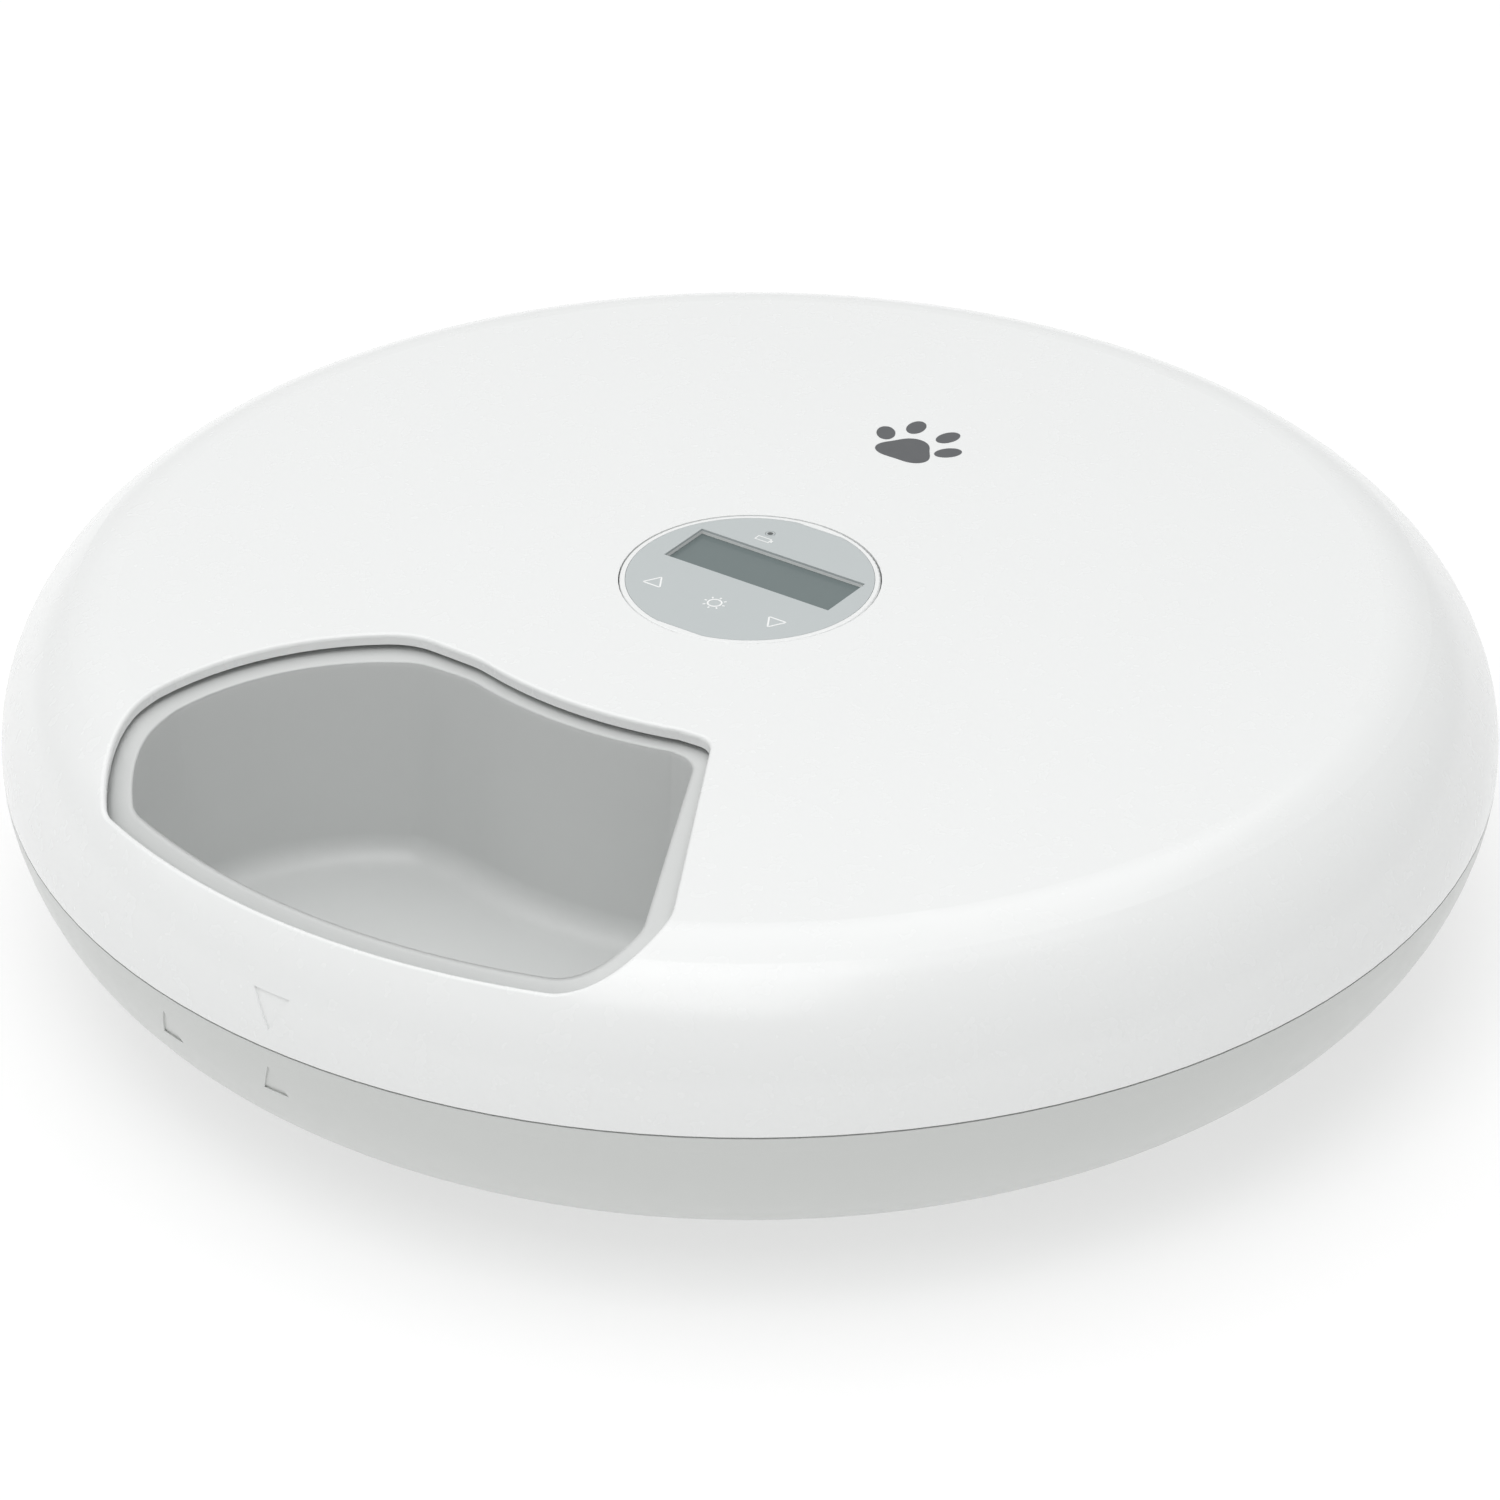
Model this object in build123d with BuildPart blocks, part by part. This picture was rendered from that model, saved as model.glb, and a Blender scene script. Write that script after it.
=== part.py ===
"""Automatic pet feeder with a turning tray of five bowls, a lift-off lid and a battery drive.

The feeder stands on the plane Z = 0 with its turning axis on Z. The open bowl faces -Y.
All sizes are in millimetres.
"""

import os
from math import acos, atan2, cos, degrees, hypot, pi, radians, sin, sqrt, tan

from build123d import *

os.makedirs("parts", exist_ok=True)

# ---------------------------------------------------------------- driving sizes
# Outer form: a flat pebble made of tangent arcs.
outer_radius = 160.0
height = 82.4
foot_height = 5.0
side_radius = 34.0
shoulder_radius = 20.0
belly_radius = 30.3
crown_edge_angle = 87.8
shoulder_edge_angle = 57.0
belly_edge_angle = 11.8
wall = 2.5

# Seam between the lid and the base.
seam_height = 45.8
seam_gap = 0.4
lip_height = 5.0
lip_wall = 1.6
lip_clearance = 0.5
lip_root = 4.0
seal_height = 2.0
seal_width = 2.4
seal_clearance = 0.3
seal_rib = 2.0

# Opening of the lid and mouth of a bowl.
opening_outer_radius = 150.5
opening_side_angle = 28.3
opening_back = 59.6
opening_edge_round = 0.8
bowl_inset = 4.4
bowl_outer_radius = 146.5
bowl_inner_radius = 62.2
bowl_side_angle = 26.0
bowl_draft = 3.0
bowl_lower_fillet = 6.0
mouth_left = ((-44.5, -59.0), (-68.4, -82.6), (-76.2, -105.0), (-75.0, -118.0))
mouth_left_front_angle = -25.2
mouth_left_front_growth = 0.9
mouth_hollow = (-27.0, 24.0)
mouth_hollow_depth = 3.6
mouth_right_back = 7.5
mouth_left_front_round = 10.0
mouth_right_front_round = 20.0
mouth_right_back_round = 5.0
mouth_left_back_round = 16.0
mouth_hollow_round = 22.0

# Tray and turntable.
bowl_count = 5
tray_gap = 1.4
tray_wall = 2.2
tray_floor = 2.4
tray_inner_radius = 60.0
tray_rim_radius = 151.8
tray_skirt = 8.0
turntable_drop = 1.8
turntable_plate = 2.0
turntable_radius = 110.0
dog_width = 5.0
dog_length = 12.0
dog_height = 8.0
dog_radius = 90.0
dog_angle = -41.5
pocket_inner_radius = 82.0
notch_depth = 1.0
notch_width = 4.0
notch_length = 14.0

# Control column.
column_radius = 50.0
column_wall = 2.5
cover_plate = 2.5
cover_clearance = 1.9
head_radius = 27.8
head_gap = 0.25
head_wall = 2.2
head_plate = 2.0
overlay_radius = 26.5
overlay_flat = 25.85
overlay_thickness = 0.5
overlay_clearance = 0.1

# Battery bay, for size AA cells.
cell_radius = 7.1
cell_length = 49.2
nub_radius = 2.7
nub_height = 1.0
cell_count = 4
cell_gap = 0.6
contact_room = 3.0
contact_plate = 0.5
door_thickness = 2.0
door_clearance = 0.2
door_margin = 4.0
rail_width = 3.0
rail_lip = 2.0
rail_lip_thickness = 1.2
bay_wall = 2.0
bay_clearance = 0.3

# Gear train.
pressure_angle = 25.0
tooth_height = 0.8
tooth_root = 1.05
backlash = 0.24
drive_module = 1.5
ring_teeth = 72
drive_teeth = 14
small_teeth = 12
fast_module = 1.0
large_teeth = 32
pinion_teeth = 10
gear_face = 6.0
fast_face = 4.0
gear_gap = 1.0
axle_radius = 1.5
axle_grip = 5.0
running_clearance = 0.05
press_clearance = 0.02
spring_wire = 0.3
ring_backing = 2.0
collar_clearance = 0.25
collar_height = 4.4

# Motor and its plate.
motor_radius = 12.2
motor_length = 22.0
motor_nose_radius = 4.0
motor_nose_height = 1.5
shaft_radius = 1.5
shaft_depth = 5.0
plate_radius = 39.0
plate_thickness = 2.5
post_radius = 4.0
screw_radius = 1.2
screw_head_radius = 2.4
screw_head_height = 1.6
screw_length = 8.0
cover_boss = 14.0
cover_screw_ring = 44.0
board_screw_ring = 34.0
motor_screw_spread = 8.5
tongue_reach = 47.0
tongue_width = 12.0
plate_posts = ((27.0, 8.0), (-27.0, 8.0), (27.0, -22.0), (-27.0, -22.0))

# Display, keys and lamp.
lcd_centre = (0.2, 5.05)
lcd_opening = (42.4, 13.9)
lcd_recess = 1.2
window_margin = 0.6
window_thickness = 0.8
fit_clearance = 0.1
board_radius = 39.0
board_thickness = 1.6
board_drop = 2.5
key_places = {"up_key": (-15.6, -12.9), "set_key": (0.0, -13.0), "down_key": (15.0, -12.5)}
key_radius = 2.1
key_flange_radius = 3.0
key_flange = 1.0
key_travel = 0.3
key_rest_gap = 0.05
switch_side = 6.0
switch_height = 3.5
switch_stem_radius = 1.6
switch_stem = 1.4
lamp_place = (-7.7, 18.6)
lamp_radius = 1.0
lamp_body_radius = 1.5
lamp_body = 4.5
sounder_place = (25.0, -15.0)
sounder_radius = 6.0
sounder_height = 4.5

# Feet, glide pads and tray position switch.
foot_count = 5
foot_radius = 8.0
foot_ring_radius = 104.0
foot_socket = 1.0
pad_count = 6
pad_radius = 5.0
pad_height = 3.0
pad_ring_radius = 98.0
pad_clearance = 0.3
sensor_size = (12.8, 6.0, 6.5)
sensor_place = (-64.0, -8.0)
sensor_lever = (3.0, 3.0, 1.6)

# Debossed lock marks on the side, at angles counted from -Y towards +X.
mark_depth = 0.4
mark_stroke = 1.0
lid_mark = {"angle": -2.0, "low": 50.4, "high": 58.4, "width": 9.2}
lock_mark = {"angle": -2.4, "low": 33.6, "high": 41.0, "width": 6.4}
open_mark = {"angle": -13.4, "low": 33.6, "high": 41.0, "width": 6.4}

# ---------------------------------------------------------------- worked-out places
side_centre = (outer_radius - side_radius, 0.0)
shoulder_step = side_radius - shoulder_radius
shoulder_offset = (
    side_centre[0] + shoulder_step * cos(radians(shoulder_edge_angle)),
    shoulder_step * sin(radians(shoulder_edge_angle)),
)
crown_radius = shoulder_radius + shoulder_offset[0] / cos(radians(crown_edge_angle))
crown_rise = shoulder_offset[1] + crown_radius
crown_rise -= (crown_radius - shoulder_radius) * sin(radians(crown_edge_angle))
equator = height - crown_rise
shoulder_centre = (shoulder_offset[0], equator + shoulder_offset[1])
belly_centre = (outer_radius - belly_radius, equator)
belly_end = (
    belly_centre[0] + belly_radius * cos(radians(belly_edge_angle)),
    belly_centre[1] - belly_radius * sin(radians(belly_edge_angle)),
)
lower_radius = (belly_end[1] - foot_height) / (1 - sin(radians(belly_edge_angle)))
lower_centre = (
    belly_end[0] - lower_radius * cos(radians(belly_edge_angle)),
    belly_end[1] + lower_radius * sin(radians(belly_edge_angle)),
)

floor_top = foot_height + wall
door_top = foot_height - door_clearance
door_bottom = door_top - door_thickness
cell_height = door_top + bay_clearance + cell_radius
bay_ceiling = cell_height + cell_radius + bay_clearance
bay_top = bay_ceiling + bay_wall
bay_width = cell_count * 2 * cell_radius + (cell_count + 1) * cell_gap
bay_length = cell_length + nub_height + 2 * contact_room
cell_pitch = 2 * cell_radius + cell_gap

gear_low = bay_top + axle_grip + bay_wall
gear_high = gear_low + gear_face
fast_low = gear_high + gear_gap
fast_high = fast_low + fast_face
plate_low = fast_high + screw_head_height
plate_high = plate_low + plate_thickness
motor_top = plate_high + motor_length

ring_radius = drive_module * ring_teeth / 2
drive_place = (0.0, ring_radius - drive_module * drive_teeth / 2)
compound_place = (0.0, drive_place[1] - drive_module * (drive_teeth + small_teeth) / 2)
motor_place = (0.0, compound_place[1] - fast_module * (large_teeth + pinion_teeth) / 2)

turntable_low = gear_low - turntable_drop
turntable_high = turntable_low + turntable_plate
tray_bottom = turntable_high
bowl_floor = tray_bottom + tray_floor
tray_inset = wall + tray_gap
ring_high = gear_high + gear_gap / 2

cover_top = height - wall - cover_clearance
cover_low = cover_top - cover_plate
board_high = cover_low - board_drop
board_low = board_high - board_thickness
panel_top = height - overlay_radius ** 2 / (2 * crown_radius)
head_top = panel_top - overlay_thickness
head_low = head_top - head_plate
window_top = panel_top - lcd_recess
window_low = window_top - window_thickness


rib_low = seam_height + lip_height + 2 * seal_clearance + seal_height
lip_drop = equator - seam_height
lip_outer = belly_centre[0] + sqrt((belly_radius - wall) ** 2 - lip_drop ** 2) - lip_clearance
collar_radius = ring_radius - tooth_height * drive_module - collar_clearance
collar_high = gear_low - 0.4
ring_outer = ring_radius + tooth_root * drive_module + ring_backing
bay_half = (bay_width / 2, bay_length / 2)
door_half = (bay_half[0] + door_margin, bay_half[1] + door_margin)
rail_low = door_bottom - door_clearance - rail_lip_thickness
cell_offsets = [(index - (cell_count - 1) / 2) * cell_pitch for index in range(cell_count)]
pad_low = turntable_low - pad_clearance - pad_height
sensor_low = turntable_low - key_travel - sensor_size[2] - sensor_lever[2]
notch_angle = degrees(atan2(sensor_place[1], sensor_place[0]))
skirt_low = equator + sqrt((side_radius - tray_inset) ** 2 - (tray_rim_radius - side_centre[0]) ** 2) - tray_skirt
tray_side_radius = bowl_outer_radius + tray_wall
tray_base_radius = tray_side_radius - (height - tray_bottom) * tan(radians(bowl_draft))
window_size = (lcd_opening[0] + 2 * window_margin, lcd_opening[1] + 2 * window_margin)
window_pocket = (window_size[0] + 2 * fit_clearance, window_size[1] + 2 * fit_clearance)
switch_top = board_high + switch_height + switch_stem


# ---------------------------------------------------------------- shared outlines
def polar(radius, angle):
    """Return the plan point at a radius and an angle counted from -Y towards +X."""
    return (radius * sin(radians(angle)), -radius * cos(radians(angle)))


foot_places = [polar(foot_ring_radius, 360 * step / foot_count) for step in range(foot_count)]
cover_screw_places = [polar(cover_screw_ring, 45 + 90 * step) for step in range(4)]
board_screw_places = [polar(board_screw_ring, 90 + 120 * step) for step in range(3)]
motor_screw_places = (
    (motor_place[0] - motor_screw_spread, motor_place[1]),
    (motor_place[0] + motor_screw_spread, motor_place[1]),
)


def pebble(inset, mode=Mode.ADD):
    """Put the outer form's half section, moved inwards by inset, into the active sketch."""
    with BuildLine(mode=Mode.PRIVATE) as outline:
        CenterArc(lower_centre, lower_radius - inset, -90, 90 - belly_edge_angle)
        CenterArc(belly_centre, belly_radius - inset, -belly_edge_angle, belly_edge_angle)
        CenterArc((side_centre[0], equator), side_radius - inset, 0, shoulder_edge_angle)
        shoulder_sweep = crown_edge_angle - shoulder_edge_angle
        CenterArc(shoulder_centre, shoulder_radius - inset, shoulder_edge_angle, shoulder_sweep)
        crown = CenterArc(
            (0, height - crown_radius), crown_radius - inset, crown_edge_angle, 90 - crown_edge_angle
        )
        Polyline(crown @ 1, (0, foot_height + inset), (lower_centre[0], foot_height + inset))
    make_face(outline.line, mode=mode)


def block(low, high, mode=Mode.ADD):
    """Put a rectangle between two corner points into the active sketch."""
    with BuildLine(mode=Mode.PRIVATE) as outline:
        Polyline(low, (high[0], low[1]), high, (low[0], high[1]), close=True)
    make_face(outline.line, mode=mode)


def rod(place, radius, low, high, mode=Mode.ADD):
    """Put an upright cylinder at a plan point, from low to high, into the active part."""
    with BuildSketch(Plane.XY.offset(low), mode=Mode.PRIVATE) as section:
        with Locations(place):
            Circle(radius)
    extrude(section.sketch, amount=high - low, mode=mode)


def slab(centre, size, low, high, mode=Mode.ADD):
    """Put an upright box with a plan centre and size, from low to high, into the active part."""
    with BuildSketch(Plane.XY.offset(low), mode=Mode.PRIVATE) as section:
        with Locations(centre):
            Rectangle(*size)
    extrude(section.sketch, amount=high - low, mode=mode)


def screw(place, seat, length, way):
    """Put a socket screw into the active part, its head on a seat, above it if way is 1."""
    head_end = seat + way * screw_head_height
    shank_end = seat - way * length
    rod(place, screw_head_radius, min(seat, head_end), max(seat, head_end))
    rod(place, screw_radius - fit_clearance, min(seat, shank_end), max(seat, shank_end))
    socket_end = seat + way * screw_head_height / 3
    rod(place, screw_radius, min(socket_end, head_end), max(socket_end, head_end), Mode.SUBTRACT)


def overlay_section(growth):
    """Put the panel overlay's outline, grown all round, into the active sketch."""
    with BuildSketch(mode=Mode.PRIVATE) as disc:
        Circle(overlay_radius + growth)
        flats = 2 * (overlay_flat + growth)
        Rectangle(2 * (overlay_radius + 1), flats, mode=Mode.INTERSECT)
    add(disc.sketch)


def gear_section(module, teeth, centre, first_angle, play):
    """Put a spur gear's outline into the active sketch, with one tooth at first_angle."""
    pitch = module * teeth / 2
    base = pitch * cos(radians(pressure_angle))
    tip = pitch + tooth_height * module
    root = pitch - tooth_root * module
    half_tooth = (pi * module / 2 - play) / (2 * pitch)
    half_tooth += tan(radians(pressure_angle)) - radians(pressure_angle)
    start = max(base, root)
    flank = [start, (start + tip) / 2, tip]
    halves = []
    for radius in flank:
        roll = acos(min(1.0, base / radius))
        halves.append((radius, half_tooth - tan(roll) + roll))
    if base > root:
        halves.insert(0, (root, halves[0][1]))
    points = []
    for tooth in range(teeth):
        middle = radians(first_angle) + 2 * pi * tooth / teeth
        rising = [(radius, middle - half) for radius, half in halves]
        falling = [(radius, middle + half) for radius, half in reversed(halves)]
        for radius, angle in rising + falling:
            points.append((centre[0] + radius * cos(angle), centre[1] + radius * sin(angle)))
    with BuildLine(mode=Mode.PRIVATE) as outline:
        Polyline(*points, close=True)
    make_face(outline.line)


def ring_space_section():
    """Put the inner outline of the ring gear into the active sketch, as the gear it would hold."""
    tip = ring_radius - tooth_height * drive_module
    root = ring_radius + tooth_root * drive_module
    base = ring_radius * cos(radians(pressure_angle))
    half_space = (pi * drive_module / 2 + backlash) / (2 * ring_radius)
    half_space += tan(radians(pressure_angle)) - radians(pressure_angle)
    halves = []
    for radius in (tip, ring_radius, root):
        roll = acos(base / radius)
        halves.append((radius, half_space - tan(roll) + roll))
    points = []
    for tooth in range(ring_teeth):
        middle = 2 * pi * tooth / ring_teeth
        rising = [(radius, middle - half) for radius, half in halves]
        falling = [(radius, middle + half) for radius, half in reversed(halves)]
        for radius, angle in rising + falling:
            points.append((radius * cos(angle), radius * sin(angle)))
    with BuildLine(mode=Mode.PRIVATE) as outline:
        Polyline(*points, close=True)
    make_face(outline.line)


def mouth_section(inset, outer, side_angle, back):
    """Put the outline shared by the lid's opening and a bowl's mouth into the active sketch.

    The left side bulges outwards, the right side runs towards the axis and the back
    follows a circle round the control column. Inset narrows the left side.
    """
    left_back, left_bulge, left_side, left_turn = [
        (x + inset, y - share * inset) for (x, y), share in zip(mouth_left, (0.8, 0.25, 0, -0.4))
    ]
    left_front = polar(outer + mouth_left_front_growth, mouth_left_front_angle + inset / 4)
    right_front = polar(outer, side_angle)
    right_back = polar(back + mouth_right_back, side_angle)
    hollow_left, hollow_right = [(x, -back) for x in mouth_hollow]
    hollow_middle = (sum(mouth_hollow) / 2, -back - mouth_hollow_depth)
    rounds = (
        (left_front, mouth_left_front_round),
        (right_front, mouth_right_front_round - inset),
        (right_back, mouth_right_back_round + inset / 2),
        (hollow_left, mouth_hollow_round),
        (left_back, mouth_left_back_round - inset),
    )
    with BuildLine(mode=Mode.PRIVATE) as outline:
        ThreePointArc(left_back, left_bulge, left_side)
        ThreePointArc(left_side, left_turn, left_front)
        ThreePointArc(left_front, polar(outer, 0), right_front)
        Line(right_front, right_back)
        Line(right_back, hollow_right)
        ThreePointArc(hollow_right, hollow_middle, hollow_left)
        Line(hollow_left, left_back)
    with BuildSketch(mode=Mode.PRIVATE) as mouth:
        make_face(outline.line)
        for corner, radius in rounds:
            fillet(mouth.vertices().sort_by_distance((*corner, 0))[0], radius)
    add(mouth.sketch)


def opening_section():
    """Put the lid opening's outline into the active sketch."""
    mouth_section(0, opening_outer_radius, opening_side_angle, opening_back)


def bowl_section():
    """Put a bowl mouth's outline into the active sketch."""
    mouth_section(bowl_inset, bowl_outer_radius, bowl_side_angle, bowl_inner_radius)


def opening_edges(part):
    """Return the edges that run round the lid's opening on the outer surface of a part.

    The circles in which the surface's own arcs meet are smooth, so they are left out.
    """
    chosen = ShapeList()
    for edge in part.edges().filter_by(GeomType.CIRCLE, reverse=True):
        middle = edge.position_at(0.5)
        reach = Vector(middle.X, middle.Y).length
        if middle.Y > 0 or reach < head_radius + 5 or reach > opening_outer_radius + 1:
            continue
        if reach < shoulder_centre[0]:
            skin_height = height - reach ** 2 / (2 * crown_radius)
        else:
            skin_height = equator + sqrt(side_radius ** 2 - (reach - side_centre[0]) ** 2)
        if middle.Z > skin_height - wall / 2:
            chosen.append(edge)
    return chosen


def side_plane(angle):
    """Return the upright plane outside the side wall at an angle, looking towards the axis."""
    place = polar(outer_radius + 1, angle)
    outward = Vector(*polar(1, angle), 0)
    across = Vector(cos(radians(angle)), sin(radians(angle)), 0)
    return Plane(origin=(*place, 0), x_dir=across, z_dir=outward)


def mark_section(mark, points_down):
    """Put a lock mark's triangular outline into the active sketch."""
    flat, apex = (mark["high"], mark["low"]) if points_down else (mark["low"], mark["high"])
    half = mark["width"] / 2
    with BuildLine(mode=Mode.PRIVATE) as outline:
        Polyline((-half, flat), (half, flat), (0, apex), close=True)
    make_face(outline.line)


# ---------------------------------------------------------------- cutting tools
with BuildPart() as skin:
    with BuildSketch(Plane.XZ):
        block((outer_radius - side_radius, foot_height), (outer_radius + 2, height))
        pebble(mark_depth, Mode.SUBTRACT)
    revolve(axis=Axis.Z)

with BuildPart() as lid_mark_cut:
    with BuildSketch(side_plane(lid_mark["angle"])):
        mark_section(lid_mark, True)
    extrude(amount=-side_radius / 2)
    add(skin.part, mode=Mode.INTERSECT)

with BuildPart() as base_mark_cut:
    for mark in (lock_mark, open_mark):
        with BuildSketch(side_plane(mark["angle"])):
            mark_section(mark, False)
        extrude(amount=-side_radius / 2)
    add(skin.part, mode=Mode.INTERSECT)

with BuildPart() as bowl_space:
    with BuildSketch(Plane.XY.offset(height)):
        bowl_section()
    extrude(amount=bowl_floor - height, taper=bowl_draft)
    fillet(bowl_space.faces().sort_by(Axis.Z)[0].edges(), bowl_lower_fillet)

with BuildPart() as tray_core:
    with BuildSketch(Plane.XZ):
        pebble(tray_inset + tray_wall)
    revolve(axis=Axis.Z)

with BuildPart() as pocket_space:
    with BuildSketch(Plane.XY.offset(tray_bottom)):
        with BuildLine():
            ThreePointArc(
                polar(pocket_inner_radius, dog_angle - 36),
                polar(pocket_inner_radius, dog_angle),
                polar(pocket_inner_radius, dog_angle + 36),
            )
            Line(polar(pocket_inner_radius, dog_angle + 36), polar(bowl_outer_radius - 3, dog_angle + 36))
            ThreePointArc(
                polar(bowl_outer_radius - 3, dog_angle + 36),
                polar(bowl_outer_radius - 3, dog_angle),
                polar(bowl_outer_radius - 3, dog_angle - 36),
            )
            Line(polar(bowl_outer_radius - 3, dog_angle - 36), polar(pocket_inner_radius, dog_angle - 36))
        make_face()
        with BuildSketch(mode=Mode.PRIVATE) as walled_bowl:
            bowl_section()
            offset(amount=tray_wall)
        add(walled_bowl.sketch, mode=Mode.SUBTRACT)
        add(walled_bowl.sketch, rotation=-360 / bowl_count, mode=Mode.SUBTRACT)
    extrude(amount=height)
    add(tray_core.part, mode=Mode.INTERSECT)

# ---------------------------------------------------------------- lid
with BuildPart() as lid:
    with BuildSketch(Plane.XZ):
        pebble(0)
        pebble(wall, Mode.SUBTRACT)
        block((lip_outer - seal_width, rib_low), (outer_radius - wall / 2, rib_low + seal_rib))
        block((head_radius + head_gap, seam_height + seam_gap / 2), (outer_radius + 1, height), Mode.INTERSECT)
    revolve(axis=Axis.Z)
    with BuildSketch(Plane.XY.offset(rib_low + seal_rib)):
        opening_section()
    extrude(amount=height, mode=Mode.SUBTRACT)
    fillet(opening_edges(lid), opening_edge_round)
    add(lid_mark_cut.part, mode=Mode.SUBTRACT)
lid.part.label = "lid"
export_step(lid.part, "parts/lid.step")

with BuildPart() as lid_seal:
    with BuildSketch(Plane.XZ):
        block(
            (lip_outer - seal_width + fit_clearance, rib_low - seal_clearance - seal_height),
            (lip_outer - fit_clearance, rib_low - seal_clearance),
        )
    revolve(axis=Axis.Z)
    fillet(lid_seal.edges(), seal_height / 5)
lid_seal.part.label = "lid_seal"
export_step(lid_seal.part, "parts/lid_seal.step")

# ---------------------------------------------------------------- base
with BuildPart() as base_shell:
    with BuildSketch(Plane.XZ):
        pebble(0)
        pebble(wall, Mode.SUBTRACT)
        block((0, foot_height), (outer_radius + 1, seam_height - seam_gap / 2), Mode.INTERSECT)
        block((lip_outer - lip_wall, seam_height - lip_root), (lip_outer, seam_height + lip_height))
        block((lip_outer - lip_wall, seam_height - lip_root), (outer_radius - wall, seam_height - 1))
        block((column_radius - column_wall, floor_top - 1), (column_radius, cover_low))
        block((column_radius - 1, collar_high - collar_height), (collar_radius, collar_high))
    revolve(axis=Axis.Z)
    # Battery bay: a box that stands on the floor and is open below.
    slab((0, 0), (bay_width + 2 * bay_wall, bay_length + 2 * bay_wall), floor_top - 1, bay_top)
    slab((0, 0), (bay_width, bay_length), 0, bay_ceiling, Mode.SUBTRACT)
    # Rails and end stop of the sliding battery door, under the floor.
    for side in (-1, 1):
        rail_middle = side * (door_half[0] + door_clearance + rail_width / 2)
        lip_middle = side * (door_half[0] + door_clearance + (rail_width - rail_lip) / 2)
        slab((rail_middle, 0), (rail_width, 2 * door_half[1]), rail_low, foot_height + 1)
        slab((lip_middle, 0), (rail_width + rail_lip, 2 * door_half[1]), rail_low, door_bottom - door_clearance)
    stop_middle = -(door_half[1] + door_clearance + rail_width / 2)
    slab((0, stop_middle), (2 * door_half[0], rail_width), door_bottom, foot_height + 1)
    # Bearing bosses of the gear axles, and posts of the gear plate.
    rod(compound_place, post_radius, bay_top - 1, gear_low - fit_clearance)
    rod(drive_place, post_radius + 1, floor_top - 1, gear_low - fit_clearance)
    for place in (compound_place, drive_place):
        rod(place, axle_radius + press_clearance, gear_low - axle_grip, gear_high, Mode.SUBTRACT)
    for place in plate_posts:
        rod(place, post_radius, bay_top - 1, plate_low)
        rod(place, screw_radius, plate_high - screw_length, plate_low, Mode.SUBTRACT)
    # Bosses of the cover screws, high on the inside of the column.
    for place in cover_screw_places:
        rod(place, post_radius, cover_low - cover_boss, cover_low)
        rod(place, screw_radius, cover_top - 1.5 * screw_length, cover_low, Mode.SUBTRACT)
    # Window through which the drive gear reaches the ring gear.
    window_width = 2 * (drive_module * (drive_teeth / 2 + tooth_height) + 1)
    slab((0, column_radius), (window_width, 4 * column_wall), gear_low - gear_gap / 2, plate_low, Mode.SUBTRACT)
    # Posts of the glide pads and of the tray position switch, and the foot sockets.
    for step in range(pad_count):
        rod(polar(pad_ring_radius, 360 * step / pad_count), pad_radius, floor_top - 1, pad_low)
    slab(sensor_place, sensor_size[:2], floor_top - 1, sensor_low)
    for place in foot_places:
        rod(place, foot_radius + fit_clearance, 0, foot_height + foot_socket, Mode.SUBTRACT)
    add(base_mark_cut.part, mode=Mode.SUBTRACT)
base_shell.part.label = "base_shell"
export_step(base_shell.part, "parts/base_shell.step")

with BuildPart() as rubber_feet:
    for place in foot_places:
        rod(place, foot_radius, 0, foot_height + foot_socket)
    fillet(rubber_feet.edges().group_by(Axis.Z)[0], 1.0)
rubber_feet.part.label = "rubber_feet"
export_step(rubber_feet.part, "parts/rubber_feet.step")

with BuildPart() as glide_pads:
    for step in range(pad_count):
        rod(polar(pad_ring_radius, 360 * step / pad_count), pad_radius, pad_low, pad_low + pad_height)
    fillet(glide_pads.edges().group_by(Axis.Z)[-1], 1.0)
glide_pads.part.label = "glide_pads"
export_step(glide_pads.part, "parts/glide_pads.step")

with BuildPart() as position_switch:
    slab(sensor_place, sensor_size[:2], sensor_low, sensor_low + sensor_size[2])
    slab(sensor_place, sensor_lever[:2], sensor_low, sensor_low + sensor_size[2] + sensor_lever[2])
    fillet(position_switch.edges().group_by(Axis.Z)[-1], 0.6)
position_switch.part.label = "position_switch"
export_step(position_switch.part, "parts/position_switch.step")

# ---------------------------------------------------------------- batteries and their door
with BuildPart() as battery_door:
    slab((0, 0), (2 * door_half[0], 2 * door_half[1]), door_bottom, door_top)
    fillet(battery_door.edges().filter_by(Axis.Z), 2.0)
    for step in range(5):
        slab((0, door_half[1] - 8 - 3 * step), (24, 1.2), door_bottom - 0.8, door_bottom + 0.5)
battery_door.part.label = "battery_door"
export_step(battery_door.part, "parts/battery_door.step")

with BuildPart() as battery_cells:
    for index, offset_x in enumerate(cell_offsets):
        way = 1 if index % 2 == 0 else -1
        with Locations((offset_x, -way * nub_height / 2, cell_height)):
            Cylinder(cell_radius, cell_length, rotation=(90, 0, 0))
        with Locations((offset_x, way * cell_length / 2, cell_height)):
            Cylinder(nub_radius, nub_height, rotation=(90, 0, 0))
battery_cells.part.label = "battery_cells"
export_step(battery_cells.part, "parts/battery_cells.step")

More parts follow.
